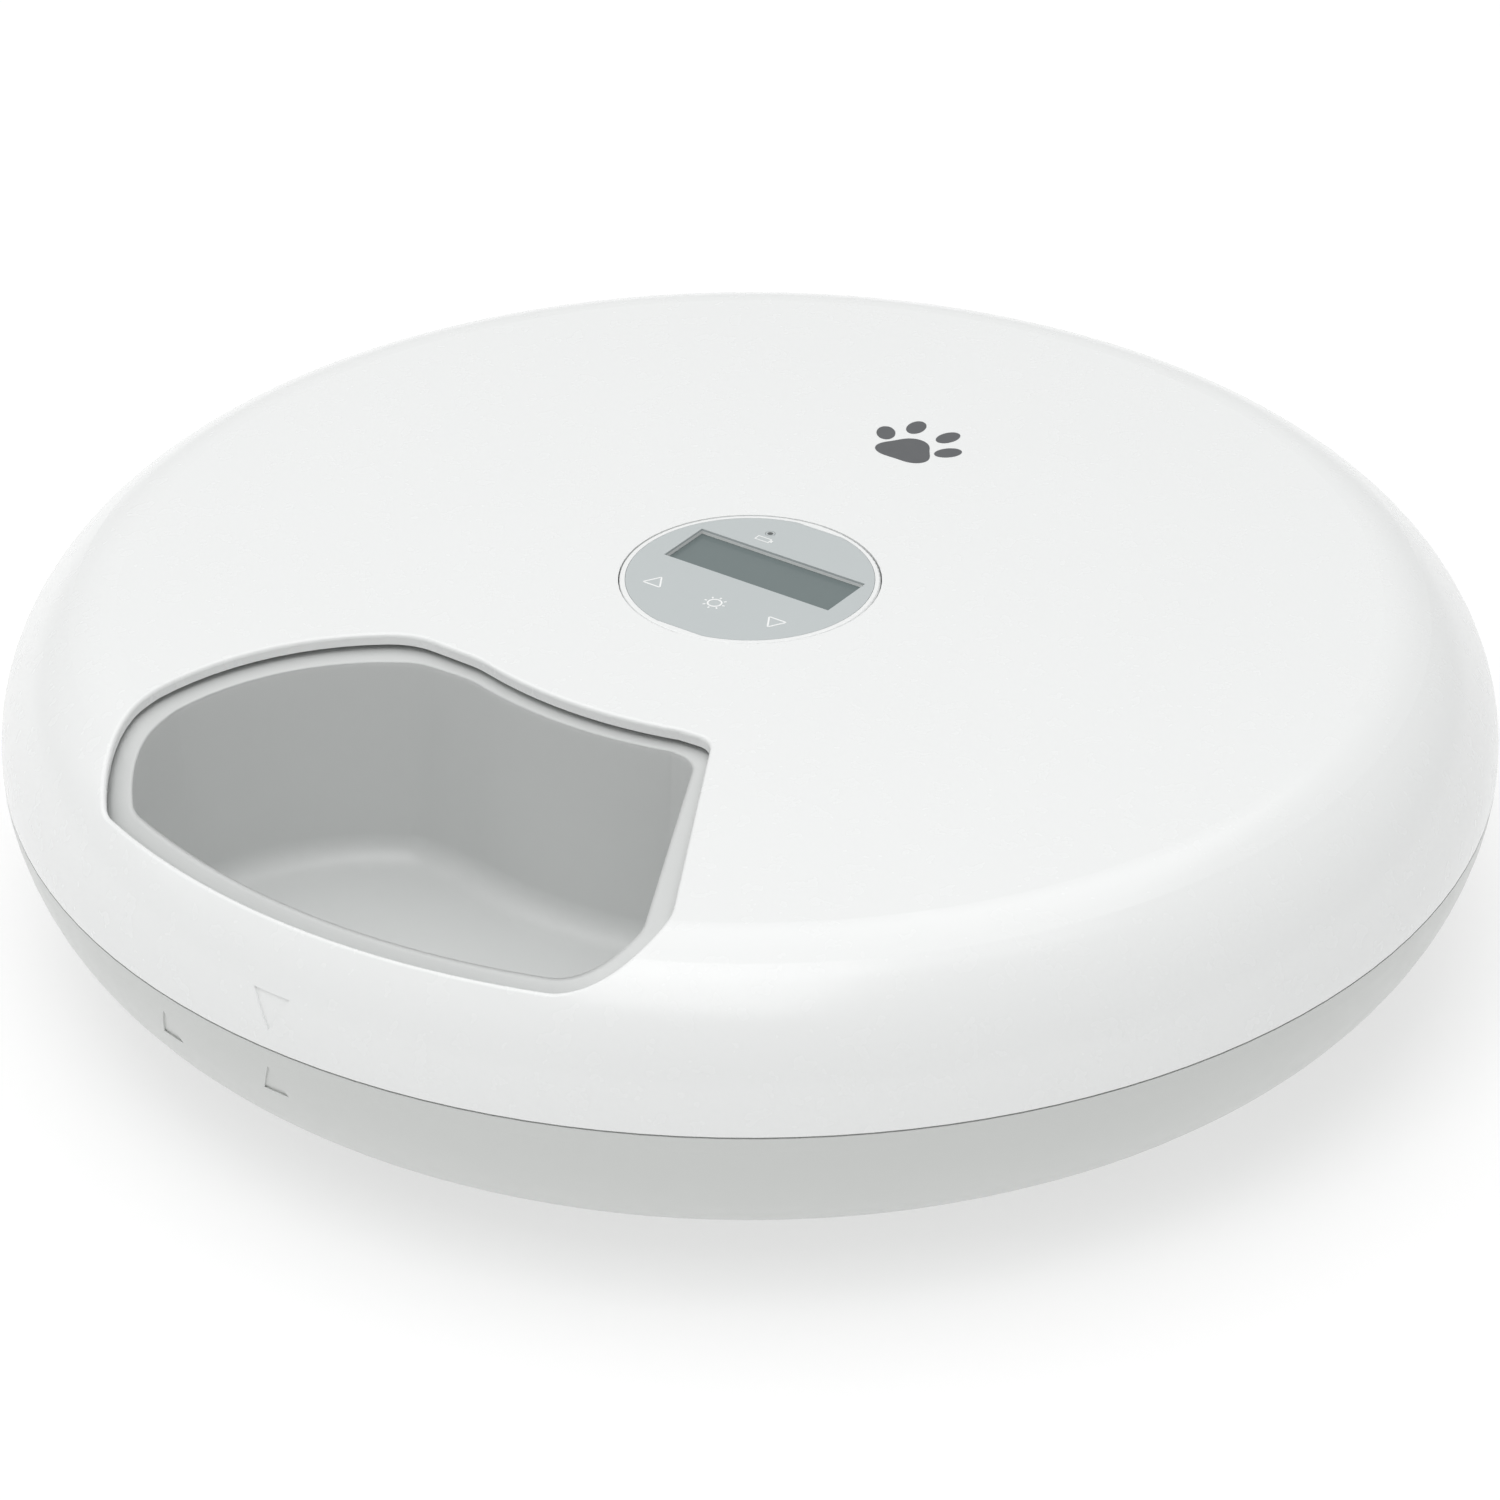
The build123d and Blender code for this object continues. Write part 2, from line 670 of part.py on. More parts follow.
plate_face = bay_half[1] - contact_plate
cell_end = (cell_length + nub_height) / 2
with BuildPart() as contact_plates:
    for index, offset_x in enumerate(cell_offsets):
        way = 1 if index % 2 == 0 else -1
        for end in (-1, 1):
            with Locations((offset_x, end * (plate_face + contact_plate / 2), cell_height)):
                Box(1.4 * cell_radius, contact_plate, 1.4 * cell_radius)
        reach = plate_face - cell_end - fit_clearance
        with Locations((offset_x, way * (plate_face - reach / 2), cell_height)):
            Cylinder(nub_radius - 0.5, reach, rotation=(90, 0, 0))
contact_plates.part.label = "contact_plates"
export_step(contact_plates.part, "parts/contact_plates.step")

with BuildPart() as contact_springs:
    for index, offset_x in enumerate(cell_offsets):
        way = -1 if index % 2 == 0 else 1
        spring_room = plate_face - cell_end - 2 * fit_clearance - 2 * spring_wire
        start = (offset_x, way * (plate_face - fit_clearance - spring_wire), cell_height)
        with BuildLine() as coil:
            Helix(
                spring_room / 2.5, spring_room, nub_radius + 0.8, center=start, direction=(0, -way, 0)
            )
        with BuildSketch(Plane(origin=coil.line @ 0, z_dir=coil.line % 0)):
            Circle(spring_wire)
        sweep(path=coil.line)
contact_springs.part.label = "contact_springs"
export_step(contact_springs.part, "parts/contact_springs.step")

# ---------------------------------------------------------------- gear train
with BuildPart() as gear_axles:
    for place in (compound_place, drive_place):
        rod(place, axle_radius, gear_low - axle_grip + fit_clearance, plate_high)
gear_axles.part.label = "gear_axles"
export_step(gear_axles.part, "parts/gear_axles.step")

with BuildPart() as drive_gear:
    with BuildSketch(Plane.XY.offset(gear_low)):
        gear_section(drive_module, drive_teeth, drive_place, 90, backlash)
    extrude(amount=gear_face)
    rod(drive_place, axle_radius + running_clearance, gear_low, gear_high, Mode.SUBTRACT)
drive_gear.part.label = "drive_gear"
export_step(drive_gear.part, "parts/drive_gear.step")

with BuildPart() as compound_gear:
    with BuildSketch(Plane.XY.offset(gear_low)):
        gear_section(drive_module, small_teeth, compound_place, 90 + 180 / small_teeth, backlash)
    extrude(amount=gear_face)
    rod(compound_place, 2 * post_radius - 1, gear_high - 1, fast_low + 1)
    with BuildSketch(Plane.XY.offset(fast_low)):
        gear_section(fast_module, large_teeth, compound_place, -90, backlash)
    extrude(amount=fast_face)
    rod(compound_place, axle_radius + running_clearance, gear_low, fast_high, Mode.SUBTRACT)
compound_gear.part.label = "compound_gear"
export_step(compound_gear.part, "parts/compound_gear.step")

with BuildPart() as motor_pinion:
    with BuildSketch(Plane.XY.offset(fast_low)):
        gear_section(fast_module, pinion_teeth, motor_place, 90 + 180 / pinion_teeth, backlash)
    extrude(amount=fast_face)
    rod(motor_place, shaft_radius + press_clearance, fast_low, fast_high, Mode.SUBTRACT)
motor_pinion.part.label = "motor_pinion"
export_step(motor_pinion.part, "parts/motor_pinion.step")

with BuildPart() as motor_shaft:
    rod(motor_place, shaft_radius, fast_low - gear_gap / 2, plate_high + shaft_depth)
motor_shaft.part.label = "motor_shaft"
export_step(motor_shaft.part, "parts/motor_shaft.step")

with BuildPart() as gear_motor:
    rod(motor_place, motor_nose_radius, plate_high - motor_nose_height, plate_high + 1)
    rod(motor_place, motor_radius, plate_high, motor_top)
    fillet(gear_motor.edges().group_by(Axis.Z)[-1], 1.5)
    rod(motor_place, motor_radius / 3, motor_top - 1, motor_top + 1)
    for side in (-1, 1):
        slab((motor_place[0] + side * 7, motor_place[1]), (0.6, 2.5), motor_top - 1, motor_top + 3)
    rod(
        motor_place, shaft_radius + running_clearance, plate_low, plate_high + shaft_depth + fit_clearance,
        Mode.SUBTRACT,
    )
    for place in motor_screw_places:
        rod(place, screw_radius, plate_high, plate_high + screw_length / 2, Mode.SUBTRACT)
gear_motor.part.label = "gear_motor"
export_step(gear_motor.part, "parts/gear_motor.step")

with BuildPart() as gear_plate:
    with BuildSketch(Plane.XY.offset(plate_low)):
        Circle(plate_radius)
        with Locations((0, tongue_reach / 2)):
            Rectangle(tongue_width, tongue_reach)
    extrude(amount=plate_thickness)
    for place in (compound_place, drive_place):
        rod(place, axle_radius + press_clearance, plate_low, plate_high, Mode.SUBTRACT)
    for place in plate_posts + motor_screw_places:
        rod(place, screw_radius, plate_low, plate_high, Mode.SUBTRACT)
    rod(motor_place, motor_nose_radius + fit_clearance, plate_low, plate_high, Mode.SUBTRACT)
gear_plate.part.label = "gear_plate"
export_step(gear_plate.part, "parts/gear_plate.step")

with BuildPart() as plate_screws:
    for place in plate_posts:
        screw(place, plate_high, screw_length, 1)
    for place in motor_screw_places:
        screw(place, plate_low, plate_thickness + screw_length / 2 - 1, -1)
plate_screws.part.label = "plate_screws"
export_step(plate_screws.part, "parts/plate_screws.step")

# ---------------------------------------------------------------- turntable and tray
with BuildPart() as turntable:
    with BuildSketch(Plane.XY.offset(turntable_low)):
        Circle(turntable_radius)
    extrude(amount=turntable_plate)
    rod((0, 0), ring_outer, turntable_low, ring_high)
    with BuildSketch(Plane.XY.offset(turntable_low)):
        ring_space_section()
    extrude(amount=height, mode=Mode.SUBTRACT)
    with BuildSketch(Plane.XY.offset(turntable_high - 1)):
        with PolarLocations(dog_radius, bowl_count, start_angle=dog_angle - 90):
            Rectangle(dog_length, dog_width)
    extrude(amount=dog_height + 1)
    with BuildSketch(Plane.XY.offset(turntable_low)):
        with PolarLocations(hypot(*sensor_place), bowl_count, start_angle=notch_angle):
            Rectangle(notch_length, notch_width)
    extrude(amount=notch_depth, mode=Mode.SUBTRACT)
turntable.part.label = "turntable"
export_step(turntable.part, "parts/turntable.step")

with BuildPart() as food_tray:
    with BuildSketch(Plane.XZ):
        pebble(tray_inset)
        with BuildLine() as tray_limits:
            Polyline(
                (tray_inner_radius, tray_bottom),
                (tray_base_radius, tray_bottom),
                (tray_side_radius, skirt_low),
                (tray_rim_radius, skirt_low),
                (tray_rim_radius, height),
                (tray_inner_radius, height),
                close=True,
            )
        make_face(mode=Mode.INTERSECT)
    revolve(axis=Axis.Z)
    for step in range(bowl_count):
        add(bowl_space.part, rotation=(0, 0, 360 * step / bowl_count), mode=Mode.SUBTRACT)
    for step in range(bowl_count):
        add(pocket_space.part, rotation=(0, 0, 360 * step / bowl_count), mode=Mode.SUBTRACT)
food_tray.part.label = "food_tray"
export_step(food_tray.part, "parts/food_tray.step")

# ---------------------------------------------------------------- control head
with BuildPart() as column_cover:
    with BuildSketch(Plane.XZ):
        block((0, cover_low), (column_radius, cover_top))
        block((0, cover_low), (head_radius, panel_top))
    revolve(axis=Axis.Z)
    fillet(column_cover.edges().group_by(Axis.Z)[-1], 0.4)
    rod((0, 0), head_radius - head_wall, cover_low, head_low, Mode.SUBTRACT)
    with BuildSketch(Plane.XY.offset(head_top)):
        overlay_section(overlay_clearance)
    extrude(amount=height, mode=Mode.SUBTRACT)
    slab(lcd_centre, lcd_opening, head_low, height, Mode.SUBTRACT)
    slab(lcd_centre, window_pocket, head_low - 1, window_top, Mode.SUBTRACT)
    for place in key_places.values():
        rod(place, key_radius + fit_clearance, head_low, height, Mode.SUBTRACT)
    rod(lamp_place, lamp_body_radius + fit_clearance, head_low, height, Mode.SUBTRACT)
    for place in board_screw_places:
        rod(place, post_radius - 1, board_high, cover_low + 1)
        rod(place, screw_radius, board_high, cover_top - 1, Mode.SUBTRACT)
    for place in cover_screw_places:
        rod(place, screw_radius, cover_low, cover_top, Mode.SUBTRACT)
        rod(place, screw_head_radius + fit_clearance, cover_top - screw_head_height, height, Mode.SUBTRACT)
column_cover.part.label = "column_cover"
export_step(column_cover.part, "parts/column_cover.step")

with BuildPart() as cover_screws:
    for place in cover_screw_places:
        screw(place, cover_top - screw_head_height, 1.3 * screw_length, 1)
cover_screws.part.label = "cover_screws"
export_step(cover_screws.part, "parts/cover_screws.step")

with BuildPart() as panel_overlay:
    with BuildSketch(Plane.XY.offset(head_top)):
        overlay_section(0)
        with Locations(lcd_centre):
            Rectangle(*lcd_opening, mode=Mode.SUBTRACT)
        with Locations(lamp_place):
            Circle(lamp_radius + fit_clearance, mode=Mode.SUBTRACT)
    extrude(amount=overlay_thickness)
panel_overlay.part.label = "panel_overlay"
export_step(panel_overlay.part, "parts/panel_overlay.step")

with BuildPart() as lcd_window:
    slab(lcd_centre, window_size, window_low, window_top)
lcd_window.part.label = "lcd_window"
export_step(lcd_window.part, "parts/lcd_window.step")

with BuildPart() as lcd_module:
    slab(lcd_centre, window_size, board_high, window_low - fit_clearance)
    fillet(lcd_module.edges().filter_by(Axis.Z), 0.5)
lcd_module.part.label = "lcd_module"
export_step(lcd_module.part, "parts/lcd_module.step")

with BuildPart() as main_board:
    rod((0, 0), board_radius, board_low, board_high)
    for place in board_screw_places:
        rod(place, screw_radius, board_low, board_high, Mode.SUBTRACT)
main_board.part.label = "main_board"
export_step(main_board.part, "parts/main_board.step")

with BuildPart() as board_screws:
    for place in board_screw_places:
        screw(place, board_low, screw_length / 2 + board_thickness, -1)
board_screws.part.label = "board_screws"
export_step(board_screws.part, "parts/board_screws.step")

with BuildPart() as key_switches:
    for place in key_places.values():
        slab(place, (switch_side, switch_side), board_high, board_high + switch_height)
        rod(place, switch_stem_radius, board_high, switch_top)
key_switches.part.label = "key_switches"
export_step(key_switches.part, "parts/key_switches.step")

with BuildPart() as sounder:
    rod(sounder_place, sounder_radius, board_low - sounder_height, board_low)
    rod(sounder_place, 1.0, board_low - sounder_height, board_low - sounder_height / 2, Mode.SUBTRACT)
sounder.part.label = "sounder"
export_step(sounder.part, "parts/sounder.step")

with BuildPart() as status_lamp:
    rod(lamp_place, lamp_body_radius, board_high, head_top - fit_clearance)
    rod(lamp_place, lamp_radius, head_top - 1, panel_top)
status_lamp.part.label = "status_lamp"
export_step(status_lamp.part, "parts/status_lamp.step")

for key_name, place in key_places.items():
    with BuildPart() as key:
        rod(place, key_radius, head_low - key_rest_gap - key_flange, head_top - key_rest_gap)
        rod(place, key_flange_radius, head_low - key_rest_gap - key_flange, head_low - key_rest_gap)
        rod(place, switch_stem_radius, switch_top + key_travel + key_rest_gap, head_low - key_flange)
    key.part.label = key_name
    export_step(key.part, "parts/" + key_name + ".step")
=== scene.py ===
"""Looks of an automatic pet feeder: moulded white housing, bowl tray, control panel and works.

Everything is in metres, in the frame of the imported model: +Z up along the turning axis,
the open bowl towards -Y. The moulded parts keep their own meshes and get their finishes
here; what is printed or lit on them is modelled as thin pieces of its own.
"""

import logging
import math
from dataclasses import dataclass, field
from enum import Enum
from functools import partial
from typing import Callable, Sequence

import bpy
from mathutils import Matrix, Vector


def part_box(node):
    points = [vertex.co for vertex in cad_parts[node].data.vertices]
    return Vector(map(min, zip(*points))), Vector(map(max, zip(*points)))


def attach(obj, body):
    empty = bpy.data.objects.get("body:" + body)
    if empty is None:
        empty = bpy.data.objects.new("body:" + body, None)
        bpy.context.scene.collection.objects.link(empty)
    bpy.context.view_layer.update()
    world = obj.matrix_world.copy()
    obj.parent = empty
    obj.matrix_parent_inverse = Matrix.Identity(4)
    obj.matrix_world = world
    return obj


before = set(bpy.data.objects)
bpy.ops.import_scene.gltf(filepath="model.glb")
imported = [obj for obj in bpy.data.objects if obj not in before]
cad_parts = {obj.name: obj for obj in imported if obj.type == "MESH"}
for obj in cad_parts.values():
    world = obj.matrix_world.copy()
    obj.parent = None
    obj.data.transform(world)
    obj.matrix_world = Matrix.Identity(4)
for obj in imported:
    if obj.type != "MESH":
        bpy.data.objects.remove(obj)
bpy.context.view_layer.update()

log = logging.getLogger("feeder")
MM = 0.001
ROUGHNESS_SPREAD = 0.1
NOISE_BAND = (0.3, 0.7)
RELIEF_SHARE = 0.5
BRUSH_STRETCH = 14.0


# ------------------------------------------------------------------ finishes
class Texture(Enum):
    """How a finish's fine relief runs over the surface."""

    SPARK_ERODED = "spark_eroded"
    POLISHED = "polished"
    BRUSHED = "brushed"
    MOTTLED = "mottled"


@dataclass(frozen=True)
class Finish:
    """A moulded, printed or metal surface, described by what a maker would order."""

    name: str
    colour: tuple[float, float, float]
    roughness: float
    texture: Texture = Texture.SPARK_ERODED
    grain: float = 0.0006
    relief: float = 0.04
    mottling: float = 0.02
    mottle_size: float = 0.03
    metallic: float = 0.0
    coat: float = 0.0
    coat_roughness: float = 0.2
    subsurface: float = 0.0
    soft_edge: float = 0.0

    def build(self) -> bpy.types.Material:
        """Make the node material of this finish.

        Returns:
            The material, with colour, roughness and relief varied over the surface.
        """
        material, shader = new_material(self.name)
        tree = material.node_tree
        place = tree.nodes.new("ShaderNodeTexCoord").outputs["Object"]
        self._colour(tree, place, shader)
        self._relief(tree, place, shader)
        shader.inputs["Metallic"].default_value = self.metallic
        shader.inputs["Coat Weight"].default_value = self.coat
        shader.inputs["Coat Roughness"].default_value = self.coat_roughness
        if self.subsurface:
            shader.inputs["Subsurface Weight"].default_value = self.subsurface
            shader.inputs["Subsurface Radius"].default_value = (1.0, 1.0, 1.0)
            shader.inputs["Subsurface Scale"].default_value = 0.002
        return material

    def _colour(
        self, tree: bpy.types.NodeTree, place: bpy.types.NodeSocket, shader: bpy.types.Node
    ) -> None:
        """Vary the colour and the roughness softly over the surface."""
        cloud = noise(tree, place, 1.0 / self.mottle_size, 3.0)
        dark = tuple(c * (1.0 - self.mottling) for c in self.colour)
        light = tuple(min(1.0, c * (1.0 + self.mottling)) for c in self.colour)
        tree.links.new(mix_colour(tree, cloud, dark, light), shader.inputs["Base Color"])
        speck = noise(tree, place, 1.0 / (8 * self.grain), 2.0)
        vary_roughness(tree, speck, self.roughness, ROUGHNESS_SPREAD, ROUGHNESS_SPREAD, shader)

    def _relief(
        self, tree: bpy.types.NodeTree, place: bpy.types.NodeSocket, shader: bpy.types.Node
    ) -> None:
        """Give the surface the fine relief of its tool or its brushing."""
        if self.texture is Texture.BRUSHED:
            stretch = tree.nodes.new("ShaderNodeMapping")
            stretch.inputs["Scale"].default_value = (1.0, 1.0, BRUSH_STRETCH)
            tree.links.new(place, stretch.inputs["Vector"])
            place = stretch.outputs["Vector"]
        height = noise(tree, place, 1.0 / self.grain, 2.0)
        if self.texture is Texture.MOTTLED:
            cells = tree.nodes.new("ShaderNodeTexVoronoi")
            cells.inputs["Scale"].default_value = 0.5 / self.grain
            tree.links.new(place, cells.inputs["Vector"])
            height = cells.outputs["Distance"]
        bump = tree.nodes.new("ShaderNodeBump")
        bump.inputs["Strength"].default_value = self.relief
        bump.inputs["Distance"].default_value = self.grain * RELIEF_SHARE
        if self.soft_edge:
            rounding = tree.nodes.new("ShaderNodeBevel")
            rounding.inputs["Radius"].default_value = self.soft_edge
            tree.links.new(rounding.outputs["Normal"], bump.inputs["Normal"])
        tree.links.new(height, bump.inputs["Height"])
        tree.links.new(bump.outputs["Normal"], shader.inputs["Normal"])


@dataclass(frozen=True)
class ClearFinish:
    """A clear or diffusing lens, drawn as a thin tinted skin."""

    name: str
    tint: tuple[float, float, float]
    roughness: float
    see_through: float

    def build(self) -> bpy.types.Material:
        """Make the node material of this lens.

        Returns:
            The material, with faint smears in its gloss.
        """
        material, shader = new_material(self.name)
        tree = material.node_tree
        place = tree.nodes.new("ShaderNodeTexCoord").outputs["Object"]
        smear = noise(tree, place, 220.0, 3.0)
        tint = mix_colour(tree, smear, tuple(0.97 * c for c in self.tint), self.tint)
        tree.links.new(tint, shader.inputs["Base Color"])
        vary_roughness(tree, smear, self.roughness, 0.2, 0.3, shader)
        shader.inputs["Alpha"].default_value = 1.0 - self.see_through
        shader.inputs["IOR"].default_value = 1.49
        return material


@dataclass(frozen=True)
class ApertureFinish:
    """A small lens behind a round window in printed film: dark in the middle, film round it."""

    name: str
    centre: tuple[float, float]
    radius: float
    lens: tuple[float, float, float]
    film: tuple[float, float, float]
    roughness: float

    def build(self) -> bpy.types.Material:
        """Make the node material of this lens.

        Returns:
            The material, with a soft border between lens and film.
        """
        material, shader = new_material(self.name)
        tree = material.node_tree
        place = tree.nodes.new("ShaderNodeTexCoord").outputs["Object"]
        flat = tree.nodes.new("ShaderNodeVectorMath")
        flat.operation = "MULTIPLY"
        flat.inputs[1].default_value = (1.0, 1.0, 0.0)
        tree.links.new(place, flat.inputs[0])
        reach = tree.nodes.new("ShaderNodeVectorMath")
        reach.operation = "DISTANCE"
        reach.inputs[1].default_value = (*self.centre, 0.0)
        tree.links.new(flat.outputs["Vector"], reach.inputs[0])
        share = remap(tree, reach.outputs["Value"], self.radius * 0.92, self.radius * 1.08, 0.0, 1.0)
        tree.links.new(mix_colour(tree, share, self.lens, self.film), shader.inputs["Base Color"])
        speck = noise(tree, place, 900.0, 2.0)
        vary_roughness(tree, speck, self.roughness, ROUGHNESS_SPREAD, ROUGHNESS_SPREAD, shader)
        return material


def new_material(name: str) -> tuple[bpy.types.Material, bpy.types.Node]:
    """Start a node material.

    Args:
        name: The finish's name.

    Returns:
        The material and its Principled shader.
    """
    material = bpy.data.materials.new(name)
    material.use_nodes = True
    shader = next(n for n in material.node_tree.nodes if n.type == "BSDF_PRINCIPLED")
    return material, shader


def noise(
    tree: bpy.types.NodeTree, place: bpy.types.NodeSocket, scale: float, detail: float
) -> bpy.types.NodeSocket:
    """Add a noise texture.

    Args:
        tree: The material's nodes.
        place: The coordinates to read.
        scale: Cells per metre.
        detail: Octaves.

    Returns:
        The noise's value socket.
    """
    node = tree.nodes.new("ShaderNodeTexNoise")
    node.inputs["Scale"].default_value = scale
    node.inputs["Detail"].default_value = detail
    tree.links.new(place, node.inputs["Vector"])
    return node.outputs["Fac"]


def remap(
    tree: bpy.types.NodeTree,
    value: bpy.types.NodeSocket,
    low: float,
    high: float,
    to_low: float,
    to_high: float,
) -> bpy.types.NodeSocket:
    """Map a value from one range to another, clamped.

    Args:
        tree: The material's nodes.
        value: The socket to read.
        low: The value that becomes to_low.
        high: The value that becomes to_high.
        to_low: The result's lower end.
        to_high: The result's upper end.

    Returns:
        The mapped socket.
    """
    node = tree.nodes.new("ShaderNodeMapRange")
    for label, number in (("From Min", low), ("From Max", high), ("To Min", to_low), ("To Max", to_high)):
        node.inputs[label].default_value = number
    tree.links.new(value, node.inputs["Value"])
    return node.outputs["Result"]


def vary_roughness(
    tree: bpy.types.NodeTree,
    pattern: bpy.types.NodeSocket,
    roughness: float,
    less: float,
    more: float,
    shader: bpy.types.Node,
) -> None:
    """Let a pattern vary a shader's roughness.

    Args:
        tree: The material's nodes.
        pattern: The pattern's value socket.
        roughness: The roughness in the middle.
        less: The share by which it falls at the pattern's low end.
        more: The share by which it rises at the pattern's high end.
        shader: The shader.
    """
    rough = remap(tree, pattern, *NOISE_BAND, roughness * (1.0 - less), roughness * (1.0 + more))
    tree.links.new(rough, shader.inputs["Roughness"])


def mix_colour(
    tree: bpy.types.NodeTree,
    share: bpy.types.NodeSocket,
    first: "bpy.types.NodeSocket | Sequence[float]",
    second: "bpy.types.NodeSocket | Sequence[float]",
) -> bpy.types.NodeSocket:
    """Mix two colours.

    Args:
        tree: The material's nodes.
        share: How much of the second colour shows.
        first: A socket or a colour.
        second: A socket or a colour.

    Returns:
        The mixed colour's socket.
    """
    node = tree.nodes.new("ShaderNodeMix")
    node.data_type = "RGBA"
    tree.links.new(share, node.inputs["Factor"])
    for label, colour in (("A", first), ("B", second)):
        target = next(s for s in node.inputs if s.name == label and s.type == "RGBA")
        if isinstance(colour, bpy.types.NodeSocket):
            tree.links.new(colour, target)
        else:
            target.default_value = (*colour, 1.0)
    return next(s for s in node.outputs if s.type == "RGBA")


# ------------------------------------------------------------------ mesh helpers
def deselect() -> None:
    """Leave no object selected, so that an operator touches only what is made next."""
    bpy.ops.object.select_all(action="DESELECT")


def pick(piece: bpy.types.Object) -> None:
    """Make one object the only selected and active one."""
    deselect()
    piece.select_set(True)
    bpy.context.view_layer.objects.active = piece


def settle(piece: bpy.types.Object, name: str) -> bpy.types.Object:
    """Put a finished piece's place into its mesh and name it.

    Args:
        piece: The object.
        name: Its name, in plain words.

    Returns:
        The same object.
    """
    pick(piece)
    bpy.ops.object.transform_apply(location=True, rotation=True, scale=True)
    piece.name = name
    piece.data.name = name
    deselect()
    return piece


def apply_modifier(piece: bpy.types.Object, kind: str, **settings: float) -> None:
    """Add a modifier with some settings and apply it.

    Args:
        piece: The object.
        kind: The modifier's type.
        **settings: Its properties.
    """
    pick(piece)
    modifier = piece.modifiers.new(kind.lower(), kind)
    for key, value in settings.items():
        setattr(modifier, key, value)
    bpy.ops.object.modifier_apply(modifier=modifier.name)


def edit(piece: bpy.types.Object, *steps: Callable[[], object]) -> None:
    """Run some operators on all of a mesh in edit mode.

    Args:
        piece: The object.
        *steps: Operators to call, in order.
    """
    pick(piece)
    bpy.ops.object.mode_set(mode="EDIT")
    bpy.ops.mesh.select_mode(type="FACE")
    bpy.ops.mesh.select_all(action="SELECT")
    for step in steps:
        step()
    bpy.ops.object.mode_set(mode="OBJECT")


def join(pieces: Sequence[bpy.types.Object], name: str) -> bpy.types.Object:
    """Join several meshes into one named piece.

    Args:
        pieces: The objects.
        name: The joined piece's name.

    Returns:
        The joined object, with its place in its mesh.
    """
    deselect()
    for piece in pieces:
        piece.select_set(True)
    bpy.context.view_layer.objects.active = pieces[0]
    if len(pieces) > 1:
        bpy.ops.object.join()
    return settle(bpy.context.view_layer.objects.active, name)


def dress(piece: bpy.types.Object, material: bpy.types.Material) -> None:
    """Put one material on all of a piece."""
    piece.data.materials.clear()
    piece.data.materials.append(material)


def dress_node(node: str, material: bpy.types.Material) -> None:
    """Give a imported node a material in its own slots.

    Args:
        node: The node's name.
        material: The finish for every slot.
    """
    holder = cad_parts[node]
    if not holder.material_slots:
        holder.data.materials.append(material)
    for held in holder.material_slots:
        held.material = material
    log.info("dressed %s in %s", node, material.name)


# ------------------------------------------------------------------ finishes of this feeder
WHITE = Finish("white_moulding", (0.825, 0.836, 0.832), 0.26, relief=0.02, mottling=0.005, coat=0.2)
# The base and the battery door are the lid's white plastic; their darker colour is painted shade, a shaded
# copy of the lid's white for the underside that faces down, away from the lamps.
WHITE_WITH_PAINTED_SHADE = Finish(
    "white_moulding_painted_shade", (0.600, 0.614, 0.600), 0.34, relief=0.05, mottling=0.008, coat=0.08
)
TRAY_GREY = Finish(
    "tray_moulding", (0.62, 0.632, 0.626), 0.34,
    relief=0.05, mottling=0.012, mottle_size=0.02, soft_edge=0.0015,
)
PAW_PRINT = Finish("paw_ink", (0.10, 0.105, 0.11), 0.5, relief=0.02, mottling=0.05, mottle_size=0.004)
FILM_GREY = Finish("panel_film_print", (0.495, 0.530, 0.533), 0.42, grain=0.0003, relief=0.06, mottling=0.01)
ICON_WHITE = Finish("icon_ink", (0.86, 0.87, 0.865), 0.5, grain=0.0002, relief=0.02, mottling=0.01)
DISPLAY_GREY = Finish(
    "display_face", (0.165, 0.21, 0.207), 0.28, Texture.POLISHED, mottling=0.06, mottle_size=0.01
)
ACETAL = Finish("natural_acetal", (0.80, 0.79, 0.75), 0.38, relief=0.03, subsurface=0.1)
SLATE = Finish("slate_moulding", (0.20, 0.21, 0.22), 0.45)
COAL = Finish("coal_moulding", (0.02, 0.02, 0.022), 0.4)
BOARD_GREEN = Finish(
    "solder_mask", (0.02, 0.12, 0.06), 0.3, Texture.POLISHED, mottling=0.15, mottle_size=0.004
)
STEEL = Finish("zinc_steel", (0.60, 0.60, 0.61), 0.32, Texture.BRUSHED, relief=0.08, metallic=1.0)
MOTOR_STEEL = Finish("drawn_steel", (0.52, 0.53, 0.54), 0.38, Texture.BRUSHED, relief=0.10, metallic=1.0)
NICKEL = Finish("nickel_plate", (0.70, 0.68, 0.64), 0.2, Texture.POLISHED, relief=0.02, metallic=1.0)
CELL_SLEEVE = Finish("cell_sleeve", (0.035, 0.09, 0.17), 0.25, Texture.POLISHED, mottling=0.05, coat=0.3)
FOOT_RUBBER = Finish("foot_rubber", (0.045, 0.045, 0.048), 0.75, Texture.MOTTLED, grain=0.0008, relief=0.2)
SEAL_SILICONE = Finish("seal_silicone", (0.62, 0.64, 0.64), 0.5, relief=0.05, subsurface=0.2)
DISPLAY_GLASS = ClearFinish("display_window_clear", (0.215, 0.262, 0.262), 0.10, 0.30)
LAMP_LENS = ApertureFinish(
    "lamp_lens", (-7.7 * MM, 18.6 * MM), 0.65 * MM, (0.09, 0.10, 0.10), FILM_GREY.colour, 0.4
)

AnyFinish = Finish | ClearFinish | ApertureFinish

